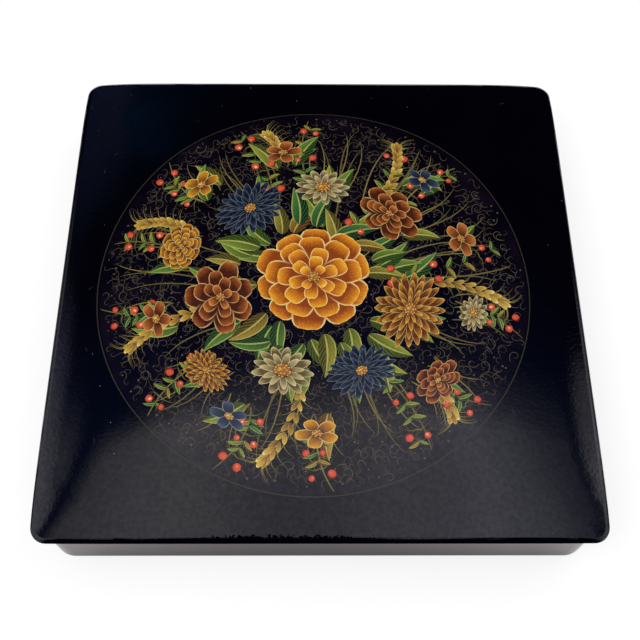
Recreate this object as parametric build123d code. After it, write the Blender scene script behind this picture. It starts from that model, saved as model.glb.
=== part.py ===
"""A square hinged box of pressed and wound paper under black lacquer, with a crowned lid.

The box stands on z = 0, centred on x = y = 0. The front faces -Y and the hinge is at the back, along X.
"""

import os
from math import cos, radians, sin, sqrt, tan

from build123d import *

# Lid, in millimetres
LID_SIDE = 160.0  # across the panel's sharp lower edge
LID_CORNER_R = 5.0
OVERHANG = 1.9  # panel past the body, all round
PANEL_EDGE = 4.0  # top of the panel over its seat, at the edge
PANEL_THICK = 4.0  # pressed panel away from its edge
PANEL_LEDGE = 1.0  # flat seat of the panel inside the rim
ROLL_R = 2.8  # rolled top edge
ROLL_END = 40.0  # degrees off level at which the roll stops
RAKE = 17.5  # degrees by which the panel's side leans in below
CROWN = 5.0  # rise of the top from its edge to its middle
CROWN_POWER = 4.0  # how late the top falls away towards the edge
HIP_POWER = 10.0  # how tightly it turns at the corners
CROWN_SPARE = 3.0  # the crown sheet reaches past the lid, to trim it
CROWN_STEPS = 24
RIM_HEIGHT = 3.0

# Body
BODY_CORNER_R = 6.4
LEAST_CORNER_R = 0.5
BASE_THICK = 4.0
BASE_EDGE_R = 1.2
WALL = 4.0
WALL_HEIGHT = 12.8  # wall above the base panel
SLEEVE = 1.6
LIP_HEIGHT = 2.6  # sleeve above the wall
LIP_EDGE_R = 0.5
LIP_FIT = 0.35  # lip to lid rim
JOINT_GAP = 0.2  # wall to lid rim, shut

# Hinge
HINGE_LENGTH = 70.0
KNUCKLES = ("left", "left", "middle", "right", "right")
KNUCKLE_GAP = 0.4
STRIP = 0.5  # tin strip
PIN_R = 0.6
PIN_FIT = 0.05
PIN_END = 0.3  # pin past the end knuckles
PIN_DOME_R = 0.25
HINGE_INSET = 1.0  # hinge axis in from the back face
SWING = 104.0  # degrees between the bevels that stop the open lid
BARREL_ROOM = 0.35
END_ROOM = 0.8
KERF_INSET = 2.4  # kerf in from the back face
KERF_FIT = 0.05
BODY_TAIL = 8.0
LID_TAIL = 2.2

# Worked out
BODY_SIDE = LID_SIDE - 2 * OVERHANG
SLEEVE_SIDE = BODY_SIDE - 2 * WALL
SLEEVE_CORNER_R = max(BODY_CORNER_R - WALL, LEAST_CORNER_R)
WALL_TOP = BASE_THICK + WALL_HEIGHT
RIM_BOTTOM = WALL_TOP + JOINT_GAP
PANEL_SEAT = RIM_BOTTOM + RIM_HEIGHT
PANEL_EDGE_TOP = PANEL_SEAT + PANEL_EDGE
LID_TOP = PANEL_EDGE_TOP + CROWN
RIM_INSIDE = SLEEVE_SIDE + 2 * LIP_FIT
HINGE_Y = BODY_SIDE / 2 - HINGE_INSET
HINGE_Z = WALL_TOP + JOINT_GAP / 2
BORE_R = PIN_R + PIN_FIT
BARREL_R = BORE_R + STRIP
GROOVE_R = BARREL_R + BARREL_ROOM
GROOVE_LENGTH = HINGE_LENGTH + 2 * END_ROOM
KNUCKLE_LENGTH = (HINGE_LENGTH + KNUCKLE_GAP) / len(KNUCKLES) - KNUCKLE_GAP
BODY_KNUCKLES = range(0, len(KNUCKLES), 2)
LID_KNUCKLES = range(1, len(KNUCKLES), 2)


def plate(side, corner_r, low, high):
    """A square plate with rounded corners, between two heights."""
    return extrude(Pos(0, 0, low) * RectangleRounded(side, side, corner_r), high - low)


def crown_height(x, y):
    """Height of the lid's top over the line of its edge."""
    half = LID_SIDE / 2
    reach = ((abs(x) / half) ** HIP_POWER + (abs(y) / half) ** HIP_POWER) ** (1 / HIP_POWER)
    return CROWN * (1 - reach**CROWN_POWER)


def crown_face(edge_height):
    """The crown as one smooth sheet, larger than the lid."""
    reach = LID_SIDE / 2 + CROWN_SPARE
    places = [reach * (2 * step / CROWN_STEPS - 1) for step in range(CROWN_STEPS + 1)]
    rows = [[Vector(x, y, edge_height + crown_height(x, y)) for y in places] for x in places]
    return Face.make_surface_from_array_of_points(rows, tol=0.005, min_deg=3, max_deg=5)


def under_crown(solid, edge_height):
    """What of a solid lies under the crown sheet."""
    return split(solid, bisect_by=crown_face(edge_height), keep=Keep.BOTTOM)


def knuckle_place(index):
    """Middle of a knuckle along the hinge."""
    return (index + 0.5) * KNUCKLE_LENGTH + index * KNUCKLE_GAP - HINGE_LENGTH / 2


def on_hinge(profile, x, length):
    """A profile drawn about the hinge axis, looking along X, made solid at its place."""
    return Pos(x, HINGE_Y, HINGE_Z) * extrude(Plane.YZ * profile, length / 2, both=True)


def strip_profile(up, tail, room=0.0):
    """The flat leg of a hinge strip and its tail, turned up or down into the kerf."""
    leg_reach = KERF_INSET - HINGE_INSET + STRIP
    leg_middle = JOINT_GAP / 2 + STRIP / 2
    leg = Pos(-leg_reach / 2, up * leg_middle) * Rectangle(leg_reach + 2 * room, STRIP + 2 * room)
    tail_middle = JOINT_GAP / 2 + tail / 2
    turned = Pos(STRIP / 2 - leg_reach, up * tail_middle) * Rectangle(STRIP + 2 * room, tail + 2 * room)
    return leg + turned


def knuckle(index, up, tail):
    """A tin strip rolled round the pin, with its tail."""
    rolled = Circle(BARREL_R) + strip_profile(up, tail) - Circle(BORE_R)
    return on_hinge(rolled, knuckle_place(index), KNUCKLE_LENGTH)


def kerf(index, up, tail):
    """The room cut for one strip's leg and tail."""
    return on_hinge(strip_profile(up, tail, KERF_FIT), knuckle_place(index), KNUCKLE_LENGTH + 2 * KERF_FIT)


def barrel_groove():
    """The round groove that the hinge barrel lies in."""
    return on_hinge(Circle(GROOVE_R), 0, GROOVE_LENGTH)


def back_bevels():
    """The V cut out of the wall and the rim along the back, whose two faces meet when the lid is open."""
    deep = 2 * HINGE_INSET
    high = deep * tan(radians(SWING / 2))
    return on_hinge(Polygon((0, 0), (deep, -high), (deep, high), align=None), 0, LID_SIDE)


def base_panel():
    panel = plate(BODY_SIDE, BODY_CORNER_R, 0, BASE_THICK)
    return fillet(panel.edges().group_by(Axis.Z)[0], BASE_EDGE_R)


def wound_ring(inside, inside_r, low, high):
    """A ring of wound paper in the body's outline, bevelled and grooved for the hinge."""
    ring = plate(BODY_SIDE, BODY_CORNER_R, low, high) - plate(inside, inside_r, low, high)
    return ring - barrel_groove() - back_bevels()


def body_wall():
    wall = wound_ring(SLEEVE_SIDE, SLEEVE_CORNER_R, BASE_THICK, WALL_TOP)
    for index in BODY_KNUCKLES:
        wall -= kerf(index, -1, BODY_TAIL)
    return wall


def inner_sleeve():
    top = WALL_TOP + LIP_HEIGHT
    sleeve = plate(SLEEVE_SIDE, SLEEVE_CORNER_R, BASE_THICK, top)
    inside_r = max(SLEEVE_CORNER_R - SLEEVE, LEAST_CORNER_R)
    sleeve -= plate(SLEEVE_SIDE - 2 * SLEEVE, inside_r, BASE_THICK, top)
    return fillet(sleeve.edges().group_by(Axis.Z)[-1], LIP_EDGE_R)


def lid_rim():
    rim = wound_ring(RIM_INSIDE, SLEEVE_CORNER_R + LIP_FIT, RIM_BOTTOM, PANEL_SEAT)
    for index in LID_KNUCKLES:
        rim -= kerf(index, 1, LID_TAIL)
    return rim


def sharp_edge_height(cut_off):
    """Height over the seat at which the roll is cut off by the panel's raked side."""
    edge_slope = CROWN * CROWN_POWER / (LID_SIDE / 2)
    roll_centre = edge_slope * (ROLL_R - cut_off) - ROLL_R * sqrt(1 + edge_slope**2)
    return PANEL_EDGE + roll_centre + ROLL_R * sin(radians(ROLL_END))


def lid_panel():
    cut_off = ROLL_R * (1 - cos(radians(ROLL_END)))
    blank = plate(LID_SIDE + 2 * cut_off, LID_CORNER_R + cut_off, PANEL_SEAT, LID_TOP + PANEL_THICK)
    rolled = under_crown(blank, PANEL_EDGE_TOP)
    rolled = fillet(rolled.faces().sort_by(Axis.Z)[-1].edges(), ROLL_R)
    lean = sharp_edge_height(cut_off) * tan(radians(RAKE))
    foot_side = LID_SIDE - 2 * lean
    foot = Pos(0, 0, PANEL_SEAT) * RectangleRounded(foot_side, foot_side, LID_CORNER_R - lean)
    raked = extrude(foot, LID_TOP + PANEL_THICK - PANEL_SEAT, taper=-RAKE)
    hollow = plate(RIM_INSIDE - 2 * PANEL_LEDGE, LID_CORNER_R, PANEL_SEAT, LID_TOP)
    return (rolled & raked) - under_crown(hollow, PANEL_EDGE_TOP - PANEL_THICK)


def hinge_pin():
    length = HINGE_LENGTH + 2 * PIN_END
    pin = on_hinge(Circle(PIN_R), 0, length)
    return fillet(pin.edges().filter_by(GeomType.CIRCLE), PIN_DOME_R)


pieces = {
    "base_panel": base_panel(),
    "body_wall": body_wall(),
    "inner_sleeve": inner_sleeve(),
    "lid_rim": lid_rim(),
    "lid_panel": lid_panel(),
    "hinge_pin": hinge_pin(),
}
for index in BODY_KNUCKLES:
    pieces["body_knuckle_" + KNUCKLES[index]] = knuckle(index, -1, BODY_TAIL)
for index in LID_KNUCKLES:
    pieces["lid_knuckle_" + KNUCKLES[index]] = knuckle(index, 1, LID_TAIL)

os.makedirs("parts", exist_ok=True)
for name, piece in pieces.items():
    export_step(piece, "parts/" + name + ".step")
    print(name, round(piece.volume), "mm3")
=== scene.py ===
# %% [markdown]
# # A square lacquer box with a painted lid
# The real box is pressed and wound paper under many coats of black lacquer, polished like a piano.
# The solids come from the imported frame, so this lesson only dresses them: lacquer, tin, and a painted
# medallion whose every brush stroke is a thin film of paint lying on the crowned lid.

# %% Load the frame
import math
import random

import bmesh
import bpy
import numpy as np
from mathutils import Matrix, Vector


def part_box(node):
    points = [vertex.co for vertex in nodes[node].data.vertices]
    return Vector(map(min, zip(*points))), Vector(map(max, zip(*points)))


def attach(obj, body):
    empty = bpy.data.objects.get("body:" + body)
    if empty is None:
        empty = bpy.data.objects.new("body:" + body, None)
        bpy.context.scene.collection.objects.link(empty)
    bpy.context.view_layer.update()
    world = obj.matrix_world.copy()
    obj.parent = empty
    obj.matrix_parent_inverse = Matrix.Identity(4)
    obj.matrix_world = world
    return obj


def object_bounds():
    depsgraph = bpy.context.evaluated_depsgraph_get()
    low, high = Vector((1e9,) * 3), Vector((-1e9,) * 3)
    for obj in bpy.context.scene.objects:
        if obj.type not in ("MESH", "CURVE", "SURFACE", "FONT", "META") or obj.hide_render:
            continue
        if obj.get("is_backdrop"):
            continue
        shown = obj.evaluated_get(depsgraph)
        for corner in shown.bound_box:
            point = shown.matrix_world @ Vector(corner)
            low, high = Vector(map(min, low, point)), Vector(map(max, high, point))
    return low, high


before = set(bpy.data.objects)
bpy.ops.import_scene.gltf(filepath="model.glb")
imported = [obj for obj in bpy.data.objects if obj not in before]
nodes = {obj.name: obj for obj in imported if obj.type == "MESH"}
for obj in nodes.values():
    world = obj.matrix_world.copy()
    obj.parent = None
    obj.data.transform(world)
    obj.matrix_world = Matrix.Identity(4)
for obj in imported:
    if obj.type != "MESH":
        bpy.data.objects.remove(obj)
cad_low, cad_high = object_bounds()
MM = 0.001
print("box", [round(v / MM, 2) for v in cad_high - cad_low], "mm,", len(nodes), "pieces from the frame")

# %% [markdown]
# ## Camera
# The photograph looks down on the lid from in front, quite close, so the front edge is clearly wider than
# the back one. A camera could be set by eye, but then the lights mirrored in the lacquer would miss their
# places. So its place, slope and lens were fitted to the lid's outline. The turn and the roll are about a
# degree each and almost cancel.

# %% Camera
IMAGE_SIDE = 640
FOCAL_PIXELS = 954.0
SENSOR = 36.0
CLIP_NEAR = 0.01
LID_EDGE_HEIGHT = 23.4 * MM
CAMERA_PLACE = Vector((-2.69 * MM, -142.22 * MM, LID_EDGE_HEIGHT + 259.38 * MM))
CAMERA_SLOPE, CAMERA_TURN, CAMERA_ROLL = 63.30, -1.166, 1.115

camera_data = bpy.data.cameras.new("photo_camera")
camera_data.sensor_width = SENSOR
camera_data.lens = FOCAL_PIXELS / IMAGE_SIDE * SENSOR
camera_data.clip_start = CLIP_NEAR
camera = bpy.data.objects.new("photo_camera", camera_data)
bpy.context.scene.collection.objects.link(camera)
turn = Matrix.Rotation(math.radians(CAMERA_TURN), 4, "Z")
slope = Matrix.Rotation(math.radians(90 - CAMERA_SLOPE), 4, "X")
roll = Matrix.Rotation(math.radians(CAMERA_ROLL), 4, "Z")
camera.matrix_world = Matrix.Translation(CAMERA_PLACE) @ turn @ slope @ roll
bpy.context.scene.camera = camera
bpy.context.scene.view_settings.view_transform = "Standard"
print("camera lens", round(camera_data.lens, 1), "mm at", [round(v / MM) for v in CAMERA_PLACE])

# %% [markdown]
# ## Node helpers
# Every finish below is a node tree. It could be wired by hand in the shader editor, but a script is easier
# to read and to change. These small helpers add a node, set its sockets and link it, so that each material
# reads like a recipe.

# %% Node helpers
MIX_FIRST, MIX_SECOND, MIX_RESULT = 6, 7, 2


class Nodes:
    """A node tree, with short ways to add and link nodes."""

    def __init__(self, tree):
        self.tree = tree

    def add(self, kind, *links, **settings):
        node = self.tree.nodes.new("ShaderNode" + kind)
        for key, value in settings.items():
            setattr(node, key, value)
        for socket, value in zip(node.inputs, links):
            self.feed(socket, value)
        return node

    def feed(self, socket, value):
        if isinstance(value, bpy.types.NodeSocket):
            self.tree.links.new(value, socket)
        else:
            socket.default_value = value

    def math(self, operation, *values, clamp=False):
        node = self.add("Math", *values, operation=operation)
        node.use_clamp = clamp
        return node.outputs[0]

    def product(self, first, *others):
        for other in others:
            first = self.math("MULTIPLY", first, other)
        return first

    def place(self, output="Object"):
        return self.add("TexCoord").outputs[output]

    def split(self, vector):
        return self.add("SeparateXYZ", vector).outputs

    def noise(self, place, scale, detail):
        node = self.add("TexNoise")
        self.feed(node.inputs["Vector"], place)
        node.inputs["Scale"].default_value = scale
        node.inputs["Detail"].default_value = detail
        return node.outputs["Fac"]

    def span(self, value, low, high, to_low=0.0, to_high=1.0):
        node = self.add("MapRange", value, low, high, to_low, to_high)
        node.interpolation_type = "SMOOTHSTEP"
        return node.outputs[0]

    def mix(self, share, first, second):
        node = self.add("Mix", data_type="RGBA")
        self.feed(node.inputs["Factor"], share)
        self.feed(node.inputs[MIX_FIRST], first)
        self.feed(node.inputs[MIX_SECOND], second)
        return node.outputs[MIX_RESULT]

    def ramp(self, value, stops):
        stops = list(stops)
        node = self.add("ValToRGB", value)
        elements = node.color_ramp.elements
        while len(elements) < len(stops):
            elements.new(0.5)
        for element, (at, tone) in zip(elements, stops):
            element.position = at
            element.color = (*tone, 1)
        return node.outputs["Color"]

    def bump(self, height, strength, distance):
        node = self.add("Bump")
        node.inputs["Strength"].default_value = strength
        node.inputs["Distance"].default_value = distance
        self.feed(node.inputs["Height"], height)
        return node.outputs["Normal"]


print("node helpers ready")

# %% Material recipe
class Recipe(Nodes):
    """A material and its node tree."""

    def __init__(self, name):
        self.material = bpy.data.materials.new(name)
        self.material.use_nodes = True
        super().__init__(self.material.node_tree)
        self.shader = self.tree.nodes["Principled BSDF"]

    def finish(self, **sockets):
        for name, value in sockets.items():
            self.feed(self.shader.inputs[name.replace("_", " ")], value)
        return self.material


def colour(red, green, blue):
    """A colour socket's value."""
    return (red, green, blue, 1.0)


WHITE = colour(1, 1, 1)
print("a recipe fills in one material")

# %% [markdown]
# ## Studio: what the lacquer mirrors
# Black lacquer shows little colour of its own: what the eye sees is the room mirrored in it. A picture of a
# room could be the world, but drawn with nodes each light can be put just where it is mirrored. A soft panel
# hangs overhead, a pale wall stands to either side, a haze lies at the back left, and the rest is dark.
# Directions are angles: sideways and backwards from straight up, and bearings from due left or due right
# towards the back.

# %% Directions in the studio
STEEP = 50


class Studio(Nodes):
    """The world's node tree, with the directions of a mirrored ray. Angles are given in degrees."""

    def __init__(self, tree):
        super().__init__(tree)
        x, y, z = self.split(self.place("Generated"))
        self.sideways = self.math("ARCTAN2", x, z)
        self.backwards = self.math("ARCTAN2", y, z)
        self.left_bearing = self.math("ARCTAN2", y, self.math("MULTIPLY", x, -1.0))
        self.right_bearing = self.math("ARCTAN2", y, x)
        self.off_middle = self.math("ABSOLUTE", self.sideways)
        self.past_steep = self.past(self.off_middle, STEEP)
        self.above_floor = self.span(z, 0.05, 0.35, 0.1, 1.0)

    def fade(self, angle, start, end, first, last):
        """A smooth change from one value to another between two angles."""
        return self.span(angle, math.radians(start), math.radians(end), first, last)

    def past(self, angle, start):
        """How far an angle goes past a start."""
        return self.math("MAXIMUM", self.math("SUBTRACT", angle, math.radians(start)), 0.0)

    def lean(self, angle, other, share):
        """An angle that leans by a share of another one."""
        return self.math("MULTIPLY_ADD", other, share, angle)


print("walls sink past", STEEP, "degrees from straight up")

# %% Overhead panel
PANEL_WARM = colour(0.97, 0.95, 1.02)
PANEL_COOL = colour(0.95, 0.93, 1.13)
PANEL_SPAN = 45
PANEL_BANDS = (
    (-45, 0.52), (-20, 0.55), (-14, 0.70), (-7.5, 0.90), (-2.5, 0.57), (0.5, 0.57), (4.5, 0.80), (8, 0.78),
    (10.8, 1.0), (14, 0.80), (20, 0.58), (25, 0.39), (30, 0.27), (34, 0.22), (35.6, 0.05), (45, 0.0),
)


def overhead_panel(studio):
    """1 on the soft panel: bright and dim bands, faded ends and a notch in front."""
    sideways, backwards = studio.sideways, studio.backwards
    across = studio.math("MULTIPLY_ADD", sideways, 0.5 / math.radians(PANEL_SPAN), 0.5)
    stops = [((angle / PANEL_SPAN + 1) / 2, (level,) * 3) for angle, level in PANEL_BANDS]
    bands = studio.ramp(across, stops)
    leaning = studio.lean(sideways, studio.math("MINIMUM", backwards, math.radians(5)), -0.25)
    slanted = studio.lean(backwards, sideways, -0.1)
    corner = studio.fade(studio.off_middle, 23, 33, 0, math.radians(28))
    left_end = studio.fade(leaning, -31, -21, 0, 1)
    back_end = studio.fade(slanted, 14, 24, 1, 0)
    front_end = studio.fade(studio.math("SUBTRACT", slanted, corner), -34, -26, 0, 1)
    notch = studio.product(studio.fade(sideways, -9, -7, 0, 1), studio.fade(sideways, 4.5, 6.5, 1, 0))
    notch = studio.product(notch, studio.fade(backwards, -20, -15, 1, 0))
    return studio.product(bands, left_end, back_end, front_end, studio.math("SUBTRACT", 1.0, notch))


print("panel", 2 * PANEL_SPAN, "degrees wide, with", len(PANEL_BANDS), "stops in its bands")

# %% Side walls
LEFT_WALL = colour(0.81, 0.80, 0.96)
LEFT_WALL_FAR = colour(0.76, 0.80, 1.35)
RIGHT_WALL = colour(1.10, 1.07, 1.20)
WALL_SINK = 0.2


def left_wall(studio):
    """1 on the left wall: a soft inner edge with a dim wing, faded out to the back and to the front."""
    sideways, backwards, bearing = studio.sideways, studio.backwards, studio.left_bearing
    rising = studio.math("MINIMUM", studio.past(backwards, 6), math.radians(18))
    inwards = studio.math("ADD", studio.lean(sideways, rising, 0.37), math.radians(32.3))
    softness = studio.fade(backwards, 2, 11, math.radians(1.6), math.radians(3.6))
    wall = studio.span(studio.math("DIVIDE", inwards, softness), -1, 1, 1, 0)
    wing = studio.product(studio.fade(sideways, -34, -29, 0.36, 0), studio.fade(backwards, 8, 14, 0, 1))
    wing = studio.product(wing, studio.fade(backwards, 21, 29, 1, 0))
    back_end = studio.fade(studio.lean(bearing, studio.past_steep, WALL_SINK), 23, 43, 1, 0)
    front_end = studio.fade(bearing, -55, -25, 0, 1)
    foot = studio.product(studio.fade(sideways, -60, -48, 0.88, 1), studio.above_floor)
    return studio.product(studio.math("MAXIMUM", wall, wing), back_end, front_end, foot)


def right_wall(studio):
    """1 on the right wall, less along one stretch of it and towards the back."""
    sideways, bearing = studio.sideways, studio.right_bearing
    outwards = studio.lean(sideways, studio.backwards, -0.12)
    outwards = studio.lean(outwards, studio.past(studio.backwards, 20), 0.18)
    inner_edge = studio.fade(outwards, 34.6, 38.6, 0, 1)
    farther = studio.fade(bearing, 18, 29, 1, 0.36)
    nearer = studio.fade(bearing, 8, 19, 0.38, 1)
    nearer = studio.math("MAXIMUM", nearer, studio.fade(sideways, 42, 60, 0.38, 0.72))
    back_end = studio.fade(studio.lean(bearing, studio.past_steep, WALL_SINK), 30.5, 35, 1, 0)
    front_end = studio.fade(bearing, -50, -25, 0, 1)
    return studio.product(inner_edge, farther, nearer, back_end, front_end, studio.above_floor)


print("two pale walls ready")

# %% Studio world
DARK_ROOM = colour(0.002, 0.002, 0.005)
DUSK = colour(0.012, 0.030, 0.110)
TEAL_HAZE = colour(0.005, 0.045, 0.116)
GREY_HAZE = colour(0.045, 0.055, 0.130)
EVEN_LIGHT = colour(0.55, 0.55, 0.55)


def dark_room(studio):
    """Dusk high up, and a haze at the back left, grey on its left and teal on its right."""
    sideways, backwards = studio.sideways, studio.backwards
    dusk = studio.product(studio.fade(backwards, 20, 36, 1, 0), studio.fade(backwards, -14, -10, 0, 1))
    haze = studio.product(studio.fade(sideways, -48, -38, 0, 1), studio.fade(backwards, 35.5, 43.5, 0, 1))
    teal = studio.product(haze, studio.fade(sideways, -25, -7, 1, 0), studio.fade(backwards, 52, 64, 1, 0.4))
    grey = studio.product(haze, studio.fade(sideways, -30, -25, 1, 0))
    room = studio.mix(dusk, DARK_ROOM, DUSK)
    room = studio.mix(teal, room, TEAL_HAZE)
    return studio.mix(grey, room, GREY_HAZE)


def whole_room(studio):
    """The dark room with the panel and the walls in it."""
    lamp = studio.mix(studio.fade(studio.sideways, 0, 14, 0, 1), PANEL_WARM, PANEL_COOL)
    room = studio.mix(overhead_panel(studio), dark_room(studio), lamp)
    bluer = studio.fade(studio.left_bearing, 28, 38, 0, 1)
    bluer = studio.product(bluer, studio.fade(studio.sideways, -52, -46, 0, 1))
    room = studio.mix(left_wall(studio), room, studio.mix(bluer, LEFT_WALL, LEFT_WALL_FAR))
    return studio.mix(right_wall(studio), room, RIGHT_WALL)


def studio_world():
    """White for the camera, the drawn room in reflections, and even light for everything else."""
    world = bpy.data.worlds.new("studio")
    bpy.context.scene.world = world
    world.use_nodes = True
    studio = Studio(world.node_tree)
    path = studio.add("LightPath")
    seen = studio.mix(path.outputs["Is Glossy Ray"], EVEN_LIGHT, whole_room(studio))
    seen = studio.mix(path.outputs["Is Camera Ray"], seen, WHITE)
    studio.feed(studio.tree.nodes["Background"].inputs["Color"], seen)
    print("studio drawn with", len(studio.tree.nodes), "nodes")


studio_world()

# %% [markdown]
# ## Floor and lamps
# The box stands on a white sheet. The sheet could be lit until it is white, but that would wash out the box.
# So the camera sees it glow, with a faint shadow near the box, while the polished sides mirror it with a
# painted
# shade: darker in front of their middle and close to their foot, and a little rosy, as paper in the shade
# is.
# Two soft lamps light the paint, and don't show in the lacquer.

# %% Floor
FLOOR_RADIUS = 4.0
FLOOR_SIDES = 96
WALL_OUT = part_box("body_wall")[1].x
MIRRORED_TINT = (1.0, 0.925, 0.965)
MIRRORED_MIDDLE = -6 * MM
# Painted shade in the mirrored sheet: its darkest level at the middle of a side, and how fast it lightens.
MIRRORED_SHADE, MIRRORED_RISE = 0.64, 92.0
CORNER_START, CORNER_END = 62 * MM, 74 * MM
# Painted shade at the foot of the box: its level in the middle of a side and at a corner, and how far it
# reaches.
FOOT_SHADE, FOOT_CORNER_SHADE = 0.74, 0.90
FOOT_SHADE_REACH = 5 * MM


def shaded_mirrored_sheet(paper, place):
    """The sheet in the polished sides, with painted shade: darker before their middle and close to the foot
    of the box.
    """
    x, y, _ = paper.split(place)
    # Painted shade: the mirrored sheet is darkest in front of the middle of the sides.
    off_middle = paper.math("ABSOLUTE", paper.math("SUBTRACT", x, MIRRORED_MIDDLE))
    squared = paper.math("POWER", off_middle, 2.0)
    level = paper.math("MULTIPLY_ADD", squared, MIRRORED_RISE, MIRRORED_SHADE, clamp=True)
    sideways = paper.math("ABSOLUTE", x)
    from_box = paper.math("MAXIMUM", sideways, paper.math("ABSOLUTE", y))
    # Painted shade: the mirrored sheet is darker within a few millimetres of the box's foot, least so at the
    # corners.
    foot = paper.span(sideways, CORNER_START, CORNER_END, FOOT_SHADE, FOOT_CORNER_SHADE)
    foot = paper.span(from_box, WALL_OUT, WALL_OUT + FOOT_SHADE_REACH, foot, 1.0)
    tinted = paper.add("VectorMath", MIRRORED_TINT, operation="SCALE")
    paper.feed(tinted.inputs["Scale"], paper.product(level, foot))
    return tinted.outputs[0]


SHADOW_START, SHADOW_REACH = 0.12, 0.42
SHADOW_GREY = colour(0.34, 0.34, 0.34)
SHADOW_GLOW = 0.72
BOUNCE_GREY = colour(0.9, 0.9, 0.9)
PAPER_ROUGH = 0.9


def white_sheet():
    """A large round floor: near the box it takes a faint shadow, further out it is plain white."""
    bpy.ops.object.select_all(action="DESELECT")
    bpy.ops.mesh.primitive_circle_add(vertices=FLOOR_SIDES, radius=FLOOR_RADIUS, fill_type="NGON")
    floor = bpy.context.object
    floor.name = "floor"
    paper = Recipe("white_sheet")
    place = paper.place()
    path = paper.add("LightPath")
    distance = paper.add("VectorMath", place, operation="LENGTH").outputs["Value"]
    open_floor = paper.span(distance, SHADOW_START, SHADOW_REACH)
    shaded = paper.mix(open_floor, SHADOW_GREY, colour(0, 0, 0))
    seen = paper.mix(path.outputs["Is Camera Ray"], BOUNCE_GREY, shaded)
    sheet = paper.mix(path.outputs["Is Glossy Ray"], seen, shaded_mirrored_sheet(paper, place))
    glow = paper.product(path.outputs["Is Camera Ray"], paper.span(open_floor, 0, 1, SHADOW_GLOW, 1.0))
    paper.finish(Base_Color=sheet, Roughness=PAPER_ROUGH, Emission_Color=WHITE)
    paper.finish(Emission_Strength=glow, Specular_IOR_Level=0.0)
    floor.data.materials.append(paper.material)
    floor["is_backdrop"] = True


white_sheet()
print("white sheet", 2 * FLOOR_RADIUS, "m across")

# %% Lamps
LAMP_AIM = Vector((0, 0, 0.02))


def soft_lamp(name, place, side, watts):
    """A square soft box that lights the paint without showing in the lacquer."""
    lamp = bpy.data.lights.new(name, "AREA")
    lamp.shape = "SQUARE"
    lamp.size = side
    lamp.energy = watts
    box = bpy.data.objects.new(name, lamp)
    bpy.context.scene.collection.objects.link(box)
    box.location = place
    box.rotation_euler = (LAMP_AIM - Vector(place)).to_track_quat("-Z", "Y").to_euler()
    box.visible_glossy = False
    print(name, watts, "W")


soft_lamp("key_lamp", (-0.35, -0.25, 0.75), side=0.5, watts=2.8)
soft_lamp("fill_lamp", (0.45, 0.2, 0.7), side=0.6, watts=1.4)

# %% [markdown]
# ## Lacquer
# The outside is black with a breath of blue, under a clear polished coat, and the inside is the red lacquer
# that such boxes carry. One smooth glossy shader would look like plastic. Hand polishing leaves a surface
# slightly wavy and very finely pitted, which frays the edges of what it mirrors, and a little dust and a few
# hairlines stay in the last coat of the lid. So noise and scattered marks are added, each at its own scale.

# %% Polish and marks
SWELL_SCALE, PIT_SCALE = 22.0, 1000.0
PIT_SHARE = 0.11
POLISH_STRENGTH, POLISH_DEPTH = 0.10, 0.002
MARK_CORE = 0.6


def wavy_polish(recipe, place):
    """The faint unevenness that hand polishing leaves: a long swell and fine pits."""
    swell = recipe.noise(place, SWELL_SCALE, detail=2.0)
    pits = recipe.noise(place, PIT_SCALE, detail=3.0)
    uneven = recipe.math("MULTIPLY_ADD", pits, PIT_SHARE, swell)
    return recipe.bump(uneven, POLISH_STRENGTH, POLISH_DEPTH)


def marks(recipe, place, cell, turn, radius, share):
    """A small spot, faint or bright, in a share of the cells of a loose net; long cells make hairlines."""
    net = recipe.add("Mapping", vector_type="TEXTURE")
    recipe.feed(net.inputs["Vector"], place)
    net.inputs["Rotation"].default_value = (0, 0, turn)
    net.inputs["Scale"].default_value = (*cell, 1)
    cells = recipe.add("TexVoronoi", voronoi_dimensions="2D", feature="F1")
    recipe.feed(cells.inputs["Vector"], net.outputs[0])
    cells.inputs["Scale"].default_value = 1.0
    spot = recipe.span(cells.outputs["Distance"], MARK_CORE * radius, radius, 1, 0)
    draw, strength, _ = recipe.split(cells.outputs["Color"])
    chosen = recipe.math("LESS_THAN", draw, share)
    return recipe.product(spot, chosen, strength)


print("pits of about", round(1 / PIT_SCALE / MM, 1), "mm on a swell of", round(1 / SWELL_SCALE / MM), "mm")

# %% Black, red and the painted ground
MEDALLION = Vector((-2.0, -2.0))
MEDALLION_R = 66.0
GROUND_FADE = 1.5
BLACK = colour(0.0002, 0.0002, 0.0012), colour(0.0008, 0.0008, 0.0024)
NIGHT = colour(0.0015, 0.0009, 0.0036), colour(0.0050, 0.0031, 0.0074)
RED = colour(0.30, 0.010, 0.008), colour(0.43, 0.022, 0.014)
HAIRLINE_GREY = colour(0.06, 0.06, 0.07)
DUST_GREY = colour(0.30, 0.29, 0.31)


def medallion_ground(recipe, place):
    """1 inside the painted circle."""
    centre = (MEDALLION.x * MM, MEDALLION.y * MM, 0.0)
    flat = recipe.add("VectorMath", place, (1.0, 1.0, 0.0), operation="MULTIPLY").outputs[0]
    distance = recipe.add("VectorMath", flat, centre, operation="DISTANCE").outputs["Value"]
    return recipe.span(distance, (MEDALLION_R - GROUND_FADE) * MM, MEDALLION_R * MM, 1, 0)


def black(recipe, place):
    return recipe.mix(recipe.noise(place, 45.0, detail=4.0), *BLACK)


def red(recipe, place):
    return recipe.mix(recipe.noise(place, 60.0, detail=5.0), *RED)


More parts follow.
